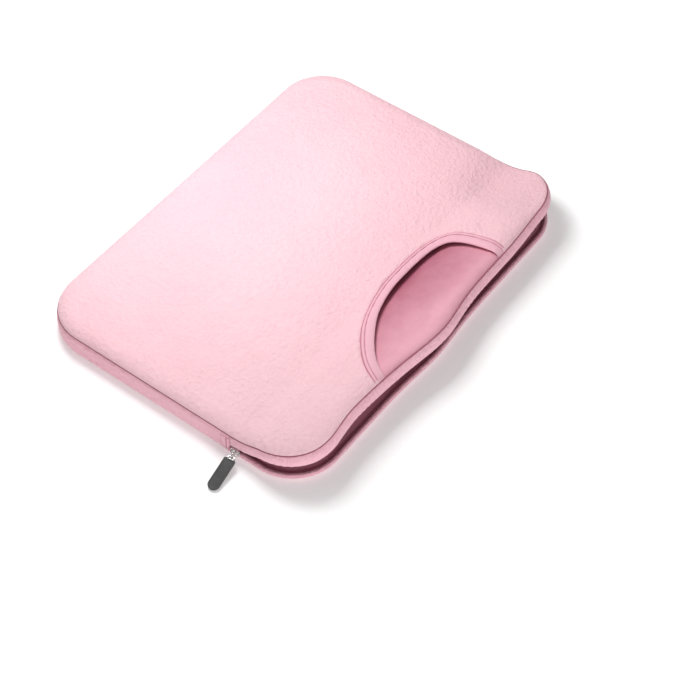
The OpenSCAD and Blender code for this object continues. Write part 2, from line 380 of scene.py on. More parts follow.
def loft(rings, closed=False):
    """A surface through closed rings with equal point counts, capped at its ends unless it closes on itself.

    Returns points, faces, and a cloth coordinate in metres for each face corner.
    """
    rings = np.asarray(rings, float)
    count, size = rings.shape[:2]
    centres = rings.mean(axis=1)
    along = lengths(np.concatenate([centres, centres[:1]])) * MM
    around = lengths(np.concatenate([rings[0], rings[0][:1]])) * MM
    faces = []
    corners = []
    for i in range(count if closed else count - 1):
        k = (i + 1) % count
        for j in range(size):
            m = (j + 1) % size
            faces.append((i * size + j, k * size + j, k * size + m, i * size + m))
            corners += [(along[i], around[j]), (along[i + 1], around[j]),
                        (along[i + 1], around[j + 1]), (along[i], around[j + 1])]
    if not closed:
        last = (count - 1) * size
        faces.append(tuple(range(size - 1, -1, -1)))
        faces.append(tuple(range(last, last + size)))
        ends = [(p[0] * MM, p[2] * MM) for p in rings[0][::-1]]
        ends += [(p[0] * MM, p[2] * MM) for p in rings[-1]]
        corners += ends
    return rings.reshape(-1, 3), faces, corners


def tube(line, radius, sides=6, closed=False):
    """A round tube along a line of points."""
    line = np.asarray(line, float)
    if closed:
        along = np.roll(line, -1, axis=0) - np.roll(line, 1, axis=0)
    else:
        along = np.gradient(line, axis=0)
    along /= np.linalg.norm(along, axis=1)[:, None]
    up = np.array([0.0, 0.0, 1.0])
    side = np.cross(along, up)
    side /= np.maximum(np.linalg.norm(side, axis=1), 1e-9)[:, None]
    over = np.cross(side, along)
    turns = circle(sides)
    rings = line[:, None] + radius * (np.cos(turns)[None, :, None] * side[:, None]
                                      + np.sin(turns)[None, :, None] * over[:, None])
    return loft(rings, closed)


def merged(shapes):
    """Several shapes as one."""
    points, faces, corners = [], [], []
    start = 0
    for shape_points, shape_faces, shape_corners in shapes:
        points.append(shape_points)
        faces += [tuple(start + v for v in face) for face in shape_faces]
        corners += shape_corners
        start += len(shape_points)
    return np.concatenate(points), faces, corners


def triangulated(outline, inner):
    """Flat triangles over a closed outline, through the inner points too."""
    count = len(outline)
    points = [Vector(p) for p in outline] + [Vector(p) for p in inner]
    edges = [(i, (i + 1) % count) for i in range(count)]
    found = delaunay_2d_cdt(points, edges, [tuple(range(count))], 1, 1e-5)
    return np.array([tuple(p) for p in found[0]]), [tuple(f) for f in found[2]]


def rim_edges(faces):
    """Edges that only one face has, in that face's direction."""
    seen = {}
    for face in faces:
        for a, b in zip(face, face[1:] + face[:1]):
            key = (min(a, b), max(a, b))
            seen[key] = None if key in seen else (a, b)
    return [edge for edge in seen.values() if edge]


def slab(flat, faces, top, bottom):
    """A closed sheet between two heights over the same flat triangles."""
    count = len(flat)
    points = np.concatenate([np.column_stack([flat, np.broadcast_to(z, count)]) for z in (top, bottom)])
    both = list(faces) + [tuple(count + v for v in reversed(face)) for face in faces]
    both += [(b, a, count + a, count + b) for a, b in rim_edges(faces)]
    corners = [(points[v][0] * MM, points[v][1] * MM) for face in both for v in face]
    return points, both, corners


def grid_inside(margin, step):
    """A staggered grid of points at least margin inside the walls."""
    rows = []
    for k, y in enumerate(np.arange(-HALF_D, HALF_D, step * 0.87)):
        shift = step / 2 * (k % 2)
        rows += [(x + shift, y) for x in np.arange(-HALF_W, HALF_W, step)]
    points = np.array(rows)
    return points[depth_inside(points) > margin]


def placed(name, data):
    """A new object in the scene."""
    obj = bpy.data.objects.new(name, data)
    scene.collection.objects.link(obj)
    return obj


def smooth_shaded(mesh):
    """The mesh with every face shaded smooth."""
    mesh.polygons.foreach_set("use_smooth", [True] * len(mesh.polygons))
    return mesh


def new_object(name, shape):
    """A smooth-shaded object from points in millimetres."""
    points, faces, corners = shape
    mesh = bpy.data.meshes.new(name)
    mesh.from_pydata((np.asarray(points) * MM).tolist(), [], faces)
    layer = mesh.uv_layers.new(name=CLOTH_MAP)
    layer.data.foreach_set("uv", np.array(corners, np.float32).ravel())
    work = bmesh.new()
    work.from_mesh(mesh)
    bmesh.ops.recalc_face_normals(work, faces=work.faces)
    work.to_mesh(mesh)
    work.free()
    return placed(name, smooth_shaded(mesh))


def baked(obj):
    """Applies every modifier of an object."""
    graph = bpy.context.evaluated_depsgraph_get()
    graph.update()
    mesh = bpy.data.meshes.new_from_object(obj.evaluated_get(graph))
    obj.modifiers.clear()
    obj.data = mesh
    return obj


def dressed(obj, material, nodes):
    """Gives a piece its material, and hides the CAD nodes it stands for."""
    obj.data.materials.clear()
    obj.data.materials.append(material)
    if nodes:
        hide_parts(*nodes)


def on_sleeve(obj, material, slot, *nodes):
    """A piece of the sleeve's body."""
    dressed(obj, material, nodes)
    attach(obj, "sleeve")


def on_flap(obj, material, slot, *nodes):
    """A piece that crosses or lies beyond the fold: it gets its material, and its placement is baked into its
    points.
    """
    dressed(obj, material, nodes)
    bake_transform(obj)


def on_body(obj, body, material, slot, *nodes):
    """A rigid piece of the zip, its slider or its pull."""
    dressed(obj, material, nodes)
    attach(obj, body)


# ---- materials


def linear(colour):
    """A colour given as 0 to 255 on screen, as the shader needs it."""
    def one(v):
        v /= 255
        return v / 12.92 if v <= 0.04045 else ((v + 0.055) / 1.055) ** 2.4
    return (*(one(v) for v in colour), 1.0)


class Nodes:
    """Short calls for one material's node tree."""

    def __init__(self, name):
        self.material = bpy.data.materials.new(name)
        self.material.use_nodes = True
        self.tree = self.material.node_tree
        self.shader = next(n for n in self.tree.nodes if n.type == "BSDF_PRINCIPLED")

    def add(self, kind, settings=None, **inputs):
        node = self.tree.nodes.new(kind)
        for key, value in (settings or {}).items():
            setattr(node, key, value)
        for key, value in inputs.items():
            self.put(node.inputs[key.replace("_", " ")], value)
        return node

    def put(self, socket, value):
        if isinstance(value, bpy.types.NodeSocket):
            self.tree.links.new(value, socket)
        else:
            socket.default_value = value

    def maths(self, operation, a, b=0.0):
        node = self.tree.nodes.new("ShaderNodeMath")
        node.operation = operation
        self.put(node.inputs[0], a)
        self.put(node.inputs[1], b)
        return node.outputs[0]

    def scaled(self, value, factor, plus):
        """value times factor, plus another value."""
        return self.maths("ADD", self.maths("MULTIPLY", value, factor), plus)

    def mix(self, factor, a, b):
        node = self.tree.nodes.new("ShaderNodeMix")
        node.data_type = "RGBA"
        self.put(node.inputs["Factor"], factor)
        self.put(node.inputs[6], a)
        self.put(node.inputs[7], b)
        return node.outputs[2]

    def ramp(self, factor, low, high):
        node = self.add("ShaderNodeMapRange", Value=factor, From_Min=low, From_Max=high)
        return node.outputs[0]

    def noise(self, scale, detail=3.0, source="Object", roughness=0.55):
        place = self.add("ShaderNodeTexCoord").outputs[source]
        node = self.add("ShaderNodeTexNoise", Vector=place, Scale=scale, Detail=detail, Roughness=roughness)
        return node.outputs["Fac"]

    def wave(self, direction, period, distortion=0.0):
        """Bands across the cloth, a period in metres apart."""
        place = self.add("ShaderNodeUVMap", {"uv_map": CLOTH_MAP}).outputs[0]
        node = self.add("ShaderNodeTexWave", {"bands_direction": direction}, Vector=place,
                        Scale=math.pi / 10 / period, Distortion=distortion)
        return node.outputs["Fac"]

    def bump(self, height, distance, strength=1.0, normal=None):
        node = self.add("ShaderNodeBump", Height=height, Distance=distance, Strength=strength)
        if normal is not None:
            self.put(node.inputs["Normal"], normal)
        return node.outputs["Normal"]

    def finish(self, colour, normal, roughness, **fixed):
        shader = self.shader
        self.put(shader.inputs["Base Color"], colour)
        self.put(shader.inputs["Normal"], normal)
        self.put(shader.inputs["Roughness"], roughness)
        for key, value in fixed.items():
            shader.inputs[key.replace("_", " ")].default_value = value
        return self.material


def cloth(name, light, dark, knit=0.0009, knit_depth=0.00008, crease=0.0004, crease_scale=90.0, wrinkle=0.0,
          sheen=0.25, rib=None, mottle=0.5, painted_crease_shade=0.08, rear_shade_between=None):
    """A soft fabric: fine knit, fuzz, faint creases, and a colour that drifts from light to dark.

    Its crease shade is painted shade: how much darker the bottoms of its creases are coloured.
    Its rear shade paints shade on it instead, from dark to light between two distances toward the front: the
    shade under the pocket's rear arc.
    """
    light, dark = linear(light), linear(dark)
    n = Nodes(name)
    across = n.wave("X", knit)
    along = n.wave("Y", knit * 1.25)
    stitch = n.maths("MULTIPLY", across, along)
    fuzz = n.noise(1400.0, 2.0)
    patches = n.noise(9.0, 4.0)
    creases = n.noise(crease_scale, 5.0, roughness=0.6)
    drift = n.ramp(patches, 0.35, 0.65)
    if rear_shade_between is not None:
        # Painted shade: darker toward the rear, under the half-moon's rear arc
        place = n.add("ShaderNodeSeparateXYZ", Vector=n.add("ShaderNodeTexCoord").outputs["Object"])
        rear_shade = n.ramp(place.outputs["Y"], rear_shade_between[1], rear_shade_between[0])
        drift = n.scaled(drift, 0.25, rear_shade)
        mottle = 0.9
    tone = n.scaled(drift, mottle, n.maths("MULTIPLY", fuzz, 0.22))
    tone = n.scaled(stitch, -0.12, tone)
    # Painted shade: the bottoms of the creases are coloured darker
    tone = n.scaled(n.ramp(creases, 0.56, 0.4), painted_crease_shade, tone)
    edge = n.ramp(n.add("ShaderNodeNewGeometry").outputs["Pointiness"], 0.49, 0.58)
    colour = n.mix(n.maths("MULTIPLY", tone, 0.9), light, dark)
    colour = n.mix(n.maths("MULTIPLY", edge, 0.25), colour, light)
    normal = n.bump(n.noise(75.0, 3.0), wrinkle, 0.6)
    normal = n.bump(creases, crease, 0.9, normal)
    if rib is not None:
        normal = n.bump(n.wave("X", rib, 4.0), 0.0002, 0.5, normal)
    normal = n.bump(stitch, knit_depth, 0.7, normal)
    normal = n.bump(fuzz, 0.00005, 0.6, normal)
    rough = n.scaled(fuzz, 0.12, 0.78)
    return n.finish(colour, normal, rough, Sheen_Weight=sheen, Sheen_Roughness=0.45,
                    Specular_IOR_Level=0.25)


def metal(name, bright, dull, roughness):
    """Plated zinc: bright, with cast ripples, fine scratches and duller patches."""
    n = Nodes(name)
    ripple = n.noise(350.0, 2.0)
    scratch = n.noise(5200.0, 2.0)
    worn = n.ramp(n.noise(160.0, 4.0), 0.4, 0.7)
    tone = n.mix(worn, linear(bright), linear(dull))
    rough = n.scaled(worn, 0.16, roughness)
    normal = n.bump(ripple, 0.00008, 0.5)
    normal = n.bump(scratch, 0.00001, 0.4, normal)
    return n.finish(tone, normal, rough, Metallic=1.0)


def rubber(name, light, dark):
    """Moulded rubber: a fine sparked texture, with slightly paler handled patches."""
    light, dark = linear(light), linear(dark)
    n = Nodes(name)
    grain = n.noise(2600.0, 3.0)
    worn = n.ramp(n.noise(120.0, 4.0), 0.4, 0.75)
    edge = n.ramp(n.add("ShaderNodeNewGeometry").outputs["Pointiness"], 0.51, 0.6)
    colour = n.mix(n.maths("MAXIMUM", n.maths("MULTIPLY", worn, 0.6), edge), dark, light)
    colour = n.mix(n.maths("MULTIPLY", grain, 0.3), colour, dark)
    normal = n.bump(grain, 0.00006, 0.8)
    rough = n.scaled(grain, 0.2, 0.52)
    return n.finish(colour, normal, rough, Specular_IOR_Level=0.4)


def nylon(name, light, dark):
    """Satin nylon of the zip coils and the sewing thread."""
    n = Nodes(name)
    strand = n.noise(900.0, 3.0)
    colour = n.mix(strand, linear(light), linear(dark))
    normal = n.bump(n.noise(3000.0, 2.0), 0.00002, 0.6)
    rough = n.scaled(strand, 0.2, 0.38)
    return n.finish(colour, normal, rough, Specular_IOR_Level=0.5)


# The floor's own light under the sleeve and away from it, and between which distances it grows
GLOW_NEAR = 0.24
GLOW_FAR = 0.8
GLOW_GROWS = (0.2, 0.5)
FLOOR_PALE = (0.95, 0.95, 0.95, 1)
FLOOR_DULL = (0.935, 0.935, 0.935, 1)


def floor_finish():
    """A white table that is lit from below away from the sleeve, so that it stays white to its corners."""
    n = Nodes("pale_floor")
    place = n.add("ShaderNodeTexCoord").outputs["Object"]
    away = n.add("ShaderNodeVectorMath", {"operation": "LENGTH"})
    n.put(away.inputs[0], place)
    share = n.ramp(away.outputs["Value"], *GLOW_GROWS)
    glow = n.scaled(share, GLOW_FAR - GLOW_NEAR, GLOW_NEAR)
    speck = n.noise(60.0, 3.0)
    colour = n.mix(speck, FLOOR_PALE, FLOOR_DULL)
    normal = n.bump(speck, 0.0001, 0.2)
    n.put(n.shader.inputs["Emission Strength"], glow)
    return n.finish(colour, normal, 0.9, Specular_IOR_Level=0.1, Emission_Color=(1, 1, 1, 1))


outer_fabric = cloth("outer_fabric", (248, 205, 213), (241, 190, 200), crease=0.0018,
                     crease_scale=320.0, wrinkle=0.002, painted_crease_shade=0.22)
band_fabric = cloth("band_fabric", (248, 192, 205), (238, 173, 189), crease_scale=240.0,
                    crease=0.0024, rib=0.0042, painted_crease_shade=0.2)
binding_fabric = cloth("binding_fabric", (236, 184, 197), (226, 168, 184), rib=0.006)
lining_fabric = cloth("lining_fabric", (229, 163, 180), (212, 142, 161), crease_scale=50.0)
# The pocket's dark colour is painted shade under the half-moon's rear arc, fading to its own pink toward the
# front.
pocket_fabric = cloth("pocket_fabric", (238, 176, 191), (166, 88, 108), crease_scale=80.0,
                      sheen=0.15, rear_shade_between=(-0.072, -0.122))
# The zip tape is coloured much darker than the bands as painted shade of the zip's gap.
zip_tape = cloth("zip_tape", (140, 76, 92), (112, 54, 70), knit=0.0007, sheen=0.1, rib=0.0021)
# The seam thread is a real seam, coloured darker to paint the shade in the seam's groove.
seam_thread_painted_shade = nylon("seam_thread_painted_shade", (172, 96, 114), (146, 74, 92))
binding_thread = nylon("binding_thread", (204, 134, 151), (182, 110, 128))
stitch_thread = nylon("stitch_thread", (244, 188, 202), (228, 164, 180))
zip_coil = nylon("zip_coil", (150, 78, 96), (118, 56, 72))
zip_metal = metal("zip_metal", (222, 221, 219), (168, 166, 163), roughness=0.1)
tab_rubber = rubber("tab_rubber", (96, 96, 96), (66, 66, 66))

# ---- walls, bands and seams


def wall_section(low, high, bulge, tuck, foot=0.0, count=21):
    """Closed section of a padded wall: a full outer face tucked in at its seams, and a flat inner face.

    foot rolls the bottom under, as a radius.
    """
    v = (1 - np.cos(np.linspace(0, math.pi, count))) / 2
    share = np.abs(2 * v - 1)
    out = bulge * (1 - share ** 2) - tuck * share ** 5
    z = low + (high - low) * v
    if foot > 0:
        below = np.clip(1 - (z - low) / foot, 0, 1)
        out = np.minimum(out, bulge - foot * (1 - np.sqrt(np.maximum(1 - below ** 2, 0))))
    inner_v = np.array([0.94, 0.6, 0.4, 0.06])
    out = np.concatenate([out, np.full(4, -WALL_T)])
    z = np.concatenate([z, low + (high - low) * inner_v])
    swell = np.concatenate([share, np.zeros(4)])
    return out, z, swell


def padded_wall(path, low, high, bulge=WALL_BULGE, tuck=WALL_TUCK, pucker=0.16, foot=0.0):
    """A padded wall along a path, drawn in here and there by its sewing."""
    out, z, swell = wall_section(low, high, bulge, tuck, foot)
    along = lengths(path[:, :2] + CORNER_R * path[:, 2:])
    slant = along[:, None] + 0.9 * z[None, :]
    gather = np.sin(slant * 2 * math.pi / 5.2) * (0.6 + 0.4 * np.sin(along[:, None] / 17.0))
    outs = out[None, :] + pucker * gather * swell[None, :] ** 2 * (swell[None, :] > 0)
    return at_wall(path, outs, np.tile(z, (len(path), 1)))


def band_section(start, end, low, high, shares, fullness):
    """Closed section of a thin band from start to end, with its fullness at each share of the way."""
    along = start + (end - start) * np.array(shares)
    full = (high - low) / 2 * np.array(fullness)
    mid = (low + high) / 2
    return np.concatenate([along, along[::-1]]), np.concatenate([mid + full, mid - full[::-1]])


def seam_strip(out_high, low, high):
    """The flat binding over a seam inside, all the way round."""
    out, z = band_section(out_high - SEAM_STRIP_W, out_high, low, high, (0, 0.08, 0.3, 0.5, 0.7, 0.92, 1),
                          (0.35, 0.85, 1, 1.12, 1, 0.85, 0.35))
    return at_wall(round_path, out, z)


def tape_strip(path, low, high):
    """The upright tape of the zip, on the inside of the wall."""
    z, out = band_section(low, high, -WALL_T - TAPE_T, -WALL_T, (0, 0.06, 0.35, 0.65, 0.94, 1),
                          (0.3, 0.9, 1, 1, 0.9, 0.3))
    return at_wall(path, out, z)


def coil(path, low, high, pitch=1.6, wire=COIL_WIRE_R, steps=8):
    """Centre line of a zip coil: a flattened helix along the path."""
    line = path[:, :2] + path[:, 2:] * (CORNER_R - COIL_IN - COIL_W / 2)
    along = lengths(line)
    total = int(along[-1] / pitch) * steps
    s = np.arange(total + 1) * pitch / steps
    x = np.interp(s, along, line[:, 0])
    y = np.interp(s, along, line[:, 1])
    nx = np.interp(s, along, path[:, 2])
    ny = np.interp(s, along, path[:, 3])
    turn = np.arange(total + 1) * 2 * math.pi / steps
    reach = (COIL_W / 2 - wire) * np.cos(turn)
    z = (low + high) / 2 + ((high - low) / 2 - wire) * np.sin(turn)
    return np.stack([x + nx * reach, y + ny * reach, z], axis=1)


def stitches(line, outward, length=2.3, gap=0.9, radius=0.26):
    """A row of stitches along a line, each a small bead whose ends sink into the cloth."""
    along = lengths(line)
    turns = circle(6)
    shares = np.array([0.0, 0.2, 0.5, 0.8, 1.0])
    sizes = np.array([0.35, 0.9, 1.0, 0.9, 0.35])
    rises = np.array([-0.8, 0.1, 0.45, 0.1, -0.8])
    shapes = []
    for start in np.arange(gap, along[-1] - length, length + gap):
        s = start + shares * length
        centre = np.stack([np.interp(s, along, line[:, k]) for k in range(3)], axis=1)
        normal = np.stack([np.interp(s, along, outward[:, k]) for k in range(3)], axis=1)
        tangent = centre[-1] - centre[0]
        side = np.cross(tangent / np.linalg.norm(tangent), normal[2])
        rings = [centre[i] + radius * (rises[i] * normal[i] + sizes[i] * (
            np.cos(turns)[:, None] * side + np.sin(turns)[:, None] * normal[i])) for i in range(5)]
        shapes.append(loft(rings))
    return merged(shapes)


def wall_line(path, out, z):
    """A line along the walls, at one distance outside them and one height."""
    return at_wall(path, np.array([out]), np.array([z]))[:, 0]


front_path = wall_path(False)
rear_path = wall_path(True)
zip_path = wall_path(False, start_y=lower_coil_high[1])
round_path = whole_path()

rear_wall = new_object("rear_wall_cloth", loft(padded_wall(rear_path, gusset_low[2], SEAM_Z, foot=WALL_FOOT)))
on_sleeve(rear_wall, band_fabric, "band_fabric", "rear_gusset")

lower_rings = padded_wall(front_path, lower_band_low[2], lower_band_high[2], bulge=0.3, tuck=0.7, pucker=0.1,
                          foot=3.2)
lower_band = new_object("lower_band_cloth", loft(bowed(lower_rings, LOWER_BOW)))
on_sleeve(lower_band, band_fabric, "band_fabric", "lower_band")

upper_rings = padded_wall(front_path, UPPER_BAND_LOW, SEAM_Z, bulge=0.8, tuck=1.0, pucker=0.4)
upper_band = new_object("upper_band_cloth", loft(flap_at_rest(upper_rings)))
on_flap(upper_band, band_fabric, "band_fabric", "upper_band")

tape_rings = tape_strip(front_path, lower_tape_low[2], lower_tape_high[2])
tape = new_object("lower_tape_weave", loft(bowed(tape_rings, LOWER_BOW)))
on_sleeve(tape, zip_tape, "zip_tape", "lower_zip_tape")
tape_rings = tape_strip(zip_path, UPPER_COIL_LOW, UPPER_COIL_LOW + TAPE_W)
tape = new_object("upper_tape_weave", loft(flap_at_rest(tape_rings, ZIP_SLACK)))
on_flap(tape, zip_tape, "zip_tape", "upper_zip_tape")

coil_line = bowed(coil(zip_path, lower_coil_low[2], lower_coil_high[2]), LOWER_BOW)
coil_loops = new_object("lower_coil_loops", tube(coil_line, COIL_WIRE_R))
on_sleeve(coil_loops, zip_coil, "zip_coil", "lower_zip_coil")
coil_line = flap_at_rest(coil(zip_path, UPPER_COIL_LOW, UPPER_BAND_LOW), ZIP_SLACK)
coil_loops = new_object("upper_coil_loops", tube(coil_line, COIL_WIRE_R))
on_flap(coil_loops, zip_coil, "zip_coil", "upper_zip_coil")

outward = np.column_stack([front_path[:, 2:], np.zeros(len(front_path))])
row = stitches(flap_at_rest(wall_line(front_path, 0.12, UPPER_BAND_LOW + 2.2)), outward)
on_flap(new_object("upper_band_stitches", row), stitch_thread, "band_fabric")
row = stitches(bowed(wall_line(front_path, 0.15, lower_band_high[2] - 1.5), LOWER_BOW), outward)
on_sleeve(new_object("lower_band_stitches", row), stitch_thread, "band_fabric")

# A dark thread in the groove of the top seam: the seam itself, darkened as painted shade of the groove.
seam = tube(flap_at_rest(wall_line(round_path, -1.1, SEAM_Z + 0.1)), radius=0.52, sides=8, closed=True)
on_flap(new_object("front_seam_thread", seam), seam_thread_painted_shade, "band_fabric")
# The same darkened thread at the seam under the foot: painted shade of that groove too.
seam = tube(wall_line(round_path, -2.6, 0.95), radius=0.4, sides=8, closed=True)
on_sleeve(new_object("back_seam_thread", seam), seam_thread_painted_shade, "band_fabric")

# ---- sheets: back, linings and pocket wall


def wall_outline(inset):
    """The outline at a distance inside the walls, as flat points; the inset may vary with the station."""
    reach = CORNER_R - np.broadcast_to(inset, len(round_path))
    return round_path[:, :2] + round_path[:, 2:] * reach[:, None]


def lining_waves(flat, size, height, seed):
    """Gentle waves of a lining that isn't held except at its seam."""
    edge = smooth(depth_inside(flat), 8, 33)
    return height * edge * cloth_noise(np.column_stack([flat, np.zeros(len(flat))]), size, seed)


def raised(shape):
    """A shape of the closed flap, with its points as they lie at rest."""
    points, faces, corners = shape
    return flap_at_rest(points), faces, corners


BACK_INSET = 3.0
CURL_W = 5.5
CURL_RISE = 1.6
back_rows = [wall_outline(BACK_INSET + d) for d in (0.5, 1.2, 2.2, 3.6, CURL_W)]
flat, triangles = triangulated(wall_outline(BACK_INSET),
                               np.concatenate(back_rows + [grid_inside(BACK_INSET + 8, 7.0)]))
edge_depth = depth_inside(flat) - BACK_INSET
curl = CURL_RISE * (1 - quarter_round(edge_depth / CURL_W))
back_panel = new_object("back_panel_cloth", slab(flat, triangles, back_high[2], curl))
on_sleeve(back_panel, outer_fabric, "outer_fabric", "back_panel")

lining_inset = WALL_T + TAPE_T + 0.1
flat, triangles = triangulated(wall_outline(lining_inset), grid_inside(lining_inset + 4, 8.0))
waves = lining_waves(flat, 60.0, 0.25, 3.0)
lining_shape = slab(flat, triangles, back_high[2] + 0.45 + waves, back_high[2] + 0.05)
on_sleeve(new_object("back_lining_cloth", lining_shape), lining_fabric, "lining_fabric", "back_lining")

strip = seam_strip(-lining_inset, back_binding_low[2], back_binding_high[2])
on_sleeve(new_object("back_seam_tape", loft(strip, True)), binding_fabric, "binding_fabric",
          "back_seam_binding")
strip = seam_strip(-WALL_T, front_binding_low[2], front_binding_high[2])
on_flap(new_object("front_seam_tape", loft(flap_at_rest(strip), True)), binding_fabric, "binding_fabric",
        "front_seam_binding_rear", "front_seam_binding_flap")

inner_inset = SEAM_INSET + PANEL_T
flat, triangles = triangulated(wall_outline(inner_inset), grid_inside(inner_inset + 3, 7.0))
waves = lining_waves(flat, 55.0, 0.35, 7.0)
lining_shape = slab(flat, triangles, front_lining_high[2], front_lining_low[2] + waves)
on_flap(new_object("front_lining_cloth", raised(lining_shape)), lining_fabric, "lining_fabric",
        "front_lining_rear", "front_lining_flap")

left_foot, right_foot = moon_line(BINDING_W * 0.5, 60)[[0, -1], 0]
station_x = round_path[:, 0] + round_path[:, 2] * CORNER_R
in_front = (round_path[:, 3] < -0.99).astype(float)
lip = in_front * smooth(station_x - left_foot, -6, 2) * smooth(right_foot - station_x, -6, 2)
flat, triangles = triangulated(wall_outline(inner_inset - (PANEL_T - 0.3) * lip),
                               grid_inside(inner_inset + 3, 5.0))
rise = smooth(depth_inside(flat) - SEAM_INSET, 0, 7)
waves = lining_waves(flat, 45.0, 0.5, 11.0)
fullness = POCKET_FULLNESS * smooth(-moon_distance(flat), 0, 12)
top = SEAM_Z + 0.35 + (pocket_high[2] - SEAM_Z - 0.75 + waves + fullness) * rise
pocket_shape = slab(flat, triangles, top, top - 1.2 + 0.5 * (1 - rise))
on_flap(new_object("pocket_wall_cloth", raised(pocket_shape)), pocket_fabric, "lining_fabric",
        "pocket_wall_rear", "pocket_wall_flap")

# ---- front panel and pocket binding


SWELL_SETTINGS = {
    "quality": 6, "mass": 0.3, "tension_stiffness": 18, "compression_stiffness": 18, "bending_stiffness": 1.2,
    "use_pressure": True, "uniform_pressure_force": 0.5, "vertex_group_mass": "hold", "pin_stiffness": 2.0,
}


def puffed(flat, faces, height, hold):
    """Cloth simulation of the panel's top, which is held where hold is 1 and swells elsewhere."""
    start = np.column_stack([flat, height])
    corners = [(0.0, 0.0)] * (3 * len(faces))
    obj = new_object("panel_swell", (start, faces, corners))
    group = obj.vertex_groups.new(name="hold")
    for index, weight in enumerate(hold):
        group.add([index], float(weight), "REPLACE")
    swell = obj.modifiers.new("swell", "CLOTH")
    for key, value in SWELL_SETTINGS.items():
        setattr(swell.settings, key, value)
    swell.settings.effector_weights.gravity = 0.0
    for timed in (scene, swell.point_cache):
        timed.frame_start = 1
        timed.frame_end = SWELL_FRAMES
    for step in range(1, SWELL_FRAMES + 1):
        scene.frame_set(step)
    baked(obj)
    end = np.zeros(len(start) * 3)
    obj.data.vertices.foreach_get("co", end)
    moved = end.reshape(-1, 3) / MM - start
    moved *= (1 - hold)[:, None]
    most = np.linalg.norm(moved, axis=1).max()
    bpy.data.objects.remove(obj)
    scene.frame_set(1)
    print("cloth moved at most", round(float(most), 2), "mm before its cap")
    return start + moved * min(1.0, SWELL_CAP / max(most, 1e-9))


CUT_INSET = 4.5
cut_line = moon_line(CUT_INSET, 110)
station = wall_outline(SEAM_INSET)
left_of_cut = station[:, 0] < cut_line[0, 0] - 1.5
right_of_cut = station[:, 0] > cut_line[-1, 0] + 1.5
keep = (station[:, 1] > SEAM_Y + 0.01) | left_of_cut | right_of_cut
first_kept = int(np.argmax(~keep)) + int((~keep).sum())
edge = np.concatenate([station[first_kept:], station[:first_kept]])[:int(keep.sum())]
outline = np.concatenate([edge, cut_line])


def clear_of_cut(points, room):
    """Points far enough outside the cut edge of the half-moon."""
    return points[(moon_distance(points) > room - CUT_INSET) & (distances(points, cut_line) > room * 0.8)]


rows = []
for d in (0.35, 0.9, 1.7, 2.8, 4.2, 6.0, 8.2, 10.6, 13.0):
    rows.append(clear_of_cut(wall_outline(SEAM_INSET + d), 1.2))
for inset in (3.2, 1.8, 0.8, 0.0, -0.8, -1.8, -3.4, -5.6):
    row = moon_line(inset, 110)
    rows.append(row[depth_inside(row) > SEAM_INSET + 0.4])
grid = grid_inside(SEAM_INSET + 15, 4.0)
rows.append(grid[moon_distance(grid) > 7.5])
flat, triangles = triangulated(outline, np.concatenate(rows))
height = panel_height(flat)
edge_depth = depth_inside(flat) - SEAM_INSET
from_moon = moon_distance(flat)
hold = np.maximum(1 - smooth(edge_depth, 0, 22), 1 - smooth(from_moon, 2, 24))
points = puffed(flat, triangles, height, hold)

groove = np.exp(-((from_moon / 1.3) ** 2)) + 1.3 * smooth(-from_moon, 0, 2)
points[:, 2] -= groove * smooth(edge_depth, 0, 10)
waves = cloth_noise(points, 42.0, 1.0) * 0.45 + cloth_noise(points * [1, 1.8, 1], 17.0, 5.0) * 0.16
points[:, 2] += waves * smooth(edge_depth, 3, 19) * smooth(from_moon, 3, 13)
angle_round = np.arctan2(points[:, 1] / HALF_D, points[:, 0] / HALF_W) * 180
points[:, 2] += 0.12 * np.sin(angle_round * 1.35) * np.exp(-((edge_depth - 3.0) / 3.2) ** 2)
corners = [(points[v][0] * MM, points[v][1] * MM) for face in triangles for v in face]
front_panel = new_object("front_panel_cloth", (flap_at_rest(points), triangles, corners))
work = bmesh.new()
work.from_mesh(front_panel.data)
if sum(face.normal.z for face in work.faces) < 0:
    bmesh.ops.reverse_faces(work, faces=work.faces)
work.to_mesh(front_panel.data)
work.free()
thick = front_panel.modifiers.new("thickness", "SOLIDIFY")
thick.thickness = PANEL_T * MM
thick.offset = -1
baked(front_panel)
on_flap(front_panel, outer_fabric, "outer_fabric", "front_panel_rear", "front_panel_flap")

# Section of the binding: distance inward from the half-moon's edge, and height over the panel
BINDING_SECTION = [
    (0.1, -0.9), (0.3, 0.05), (0.8, 0.6), (1.4, 0.7), (2.1, 0.4), (2.6, -0.15), (3.3, 0.25), (4.8, 0.2),
    (6.2, -0.2), (7.6, -0.7), (8.6, -1.3), (9.0, -1.9), (8.8, -2.5), (8.0, -2.9), (6.4, -3.4), (4.6, -4.3),
    (2.6, -4.4), (2.6, -3.9), (4.4, -3.6), (4.6, -1.6), (2.5, -1.4), (0.8, -1.3),
]
BINDING_STATIONS = 150
binding_rings = np.zeros((BINDING_STATIONS, len(BINDING_SECTION), 3))
for j, (inset, over) in enumerate(BINDING_SECTION):
    line = moon_line(inset, BINDING_STATIONS)
    flatter = 0.25 + 0.75 * smooth(depth_inside(line) - SEAM_INSET, 0, 12)
    drawn = 0.12 * np.sin(np.arange(BINDING_STATIONS) * 0.9) * np.exp(-((inset - 3.5) / 2.5) ** 2)
    binding_rings[:, j, :2] = line
    binding_rings[:, j, 2] = panel_height(line) + (over + drawn) * flatter
binding = new_object("pocket_edge_binding", loft(flap_at_rest(binding_rings)))
on_flap(binding, binding_fabric, "binding_fabric", "pocket_binding")

